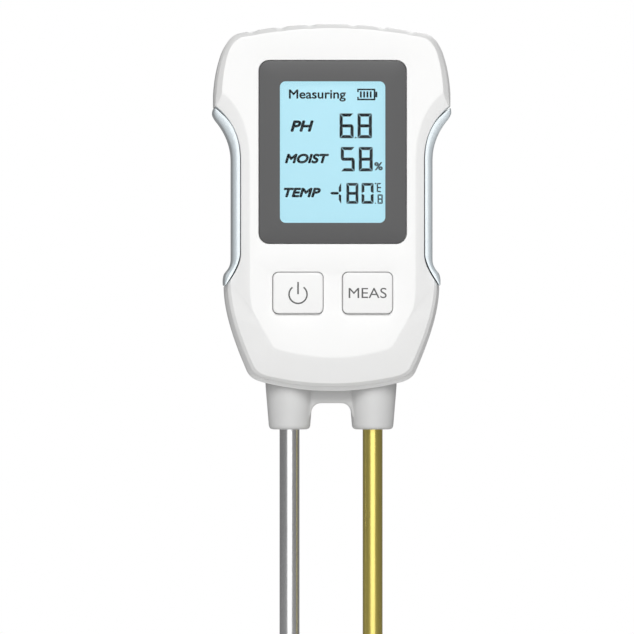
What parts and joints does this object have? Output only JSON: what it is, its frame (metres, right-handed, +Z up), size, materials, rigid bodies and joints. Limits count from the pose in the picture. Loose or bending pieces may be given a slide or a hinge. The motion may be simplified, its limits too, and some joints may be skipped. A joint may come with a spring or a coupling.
{
  "type": "soil moisture meter",
  "caption": "Handheld soil meter with a waisted white housing, silver side grips, lit display, push buttons, rear battery cover, and a silver and a gold pointed soil probe.",
  "frame": {"origin": "midway between the probe axes, at the soil line: the height to which the probes are pushed into the soil", "axes": "+Z up along the probes towards the housing, +X to the reader's right, display facing -Y, battery cover facing +Y"},
  "size_m": [0.0596, 0.0302, 0.3001],
  "materials": {
    "shell_white": "satin moulded ABS, fine even grain",
    "button_white": "satin moulded cap",
    "grip_silver": "silver-blue metallic lacquer on plastic",
    "lens_grey": "clear acrylic window with a dark grey printed border",
    "lcd_blue": "display glass lit pale blue",
    "diffuser_white": "milky light guide",
    "frame_plastic": "plain moulded plastic",
    "foam_black": "closed-cell foam",
    "rubber_black": "matte rubber",
    "board_green": "glass-epoxy board with green solder mask",
    "part_black": "black component plastic",
    "steel": "zinc-plated or stainless steel",
    "probe_silver": "polished and finely turned",
    "probe_gold": "polished and finely turned",
    "contact_tin": "tinned sheet",
    "cell_jacket": "printed steel jacket",
    "wire_black": "soft insulation",
    "wire_red": "soft insulation",
    "wire_yellow": "soft insulation"
  },
  "bodies": {
    "meter": {"front_shell": "shell_white", "rear_shell": "shell_white", "side_grip_left": "grip_silver", "side_grip_right": "grip_silver", "housing_screw_1": "steel", "housing_screw_2": "steel", "housing_screw_3": "steel", "housing_screw_4": "steel", "display_lens": "lens_grey", "display_gasket": "foam_black", "lcd_glass": "lcd_blue", "lcd_frame": "frame_plastic", "backlight_panel": "diffuser_white", "zebra_strip": "rubber_black", "main_board": "board_green", "controller_chip": "part_black", "board_screw_1": "steel", "board_screw_2": "steel", "board_screw_3": "steel", "board_screw_4": "steel", "power_switch": "part_black", "measure_switch": "part_black", "battery_left": "cell_jacket", "battery_right": "cell_jacket", "battery_spring_left": "contact_tin", "battery_spring_right": "contact_tin", "battery_link_plate": "contact_tin", "battery_negative_plate": "contact_tin", "battery_positive_plate": "contact_tin", "battery_lead_black": "wire_black", "battery_lead_red": "wire_red", "probe_holder": "shell_white", "silver_probe": "probe_silver", "gold_probe": "probe_gold", "silver_probe_seal": "rubber_black", "gold_probe_seal": "rubber_black", "silver_probe_nut": "steel", "gold_probe_nut": "steel", "silver_probe_terminal": "contact_tin", "gold_probe_terminal": "contact_tin", "silver_probe_lead": "wire_black", "gold_probe_lead": "wire_red", "temperature_sensor": "steel", "sensor_lead": "wire_yellow"},
    "power_button": {"power_button": "button_white", "power_switch_plunger": "button_white"},
    "measure_button": {"measure_button": "button_white", "measure_switch_plunger": "button_white"},
    "battery_cover": {"battery_cover": "shell_white"}
  },
  "joints": [
    {"name": "power_button_press", "type": "slide", "parent": "meter", "child": "power_button", "axis": [0, 1, 0], "range_m": [0, 0.0006], "stiffness_N_per_m": 900, "springref_m": -0.0008},
    {"name": "measure_button_press", "type": "slide", "parent": "meter", "child": "measure_button", "axis": [0, 1, 0], "range_m": [0, 0.0006], "stiffness_N_per_m": 900, "springref_m": -0.0008},
    {"name": "battery_cover_tilt", "type": "hinge", "parent": "meter", "child": "battery_cover", "pos_m": [0, 0.01495, 0.05095], "axis": [-1, 0, 0], "range_deg": [0, 40]}
  ]
}
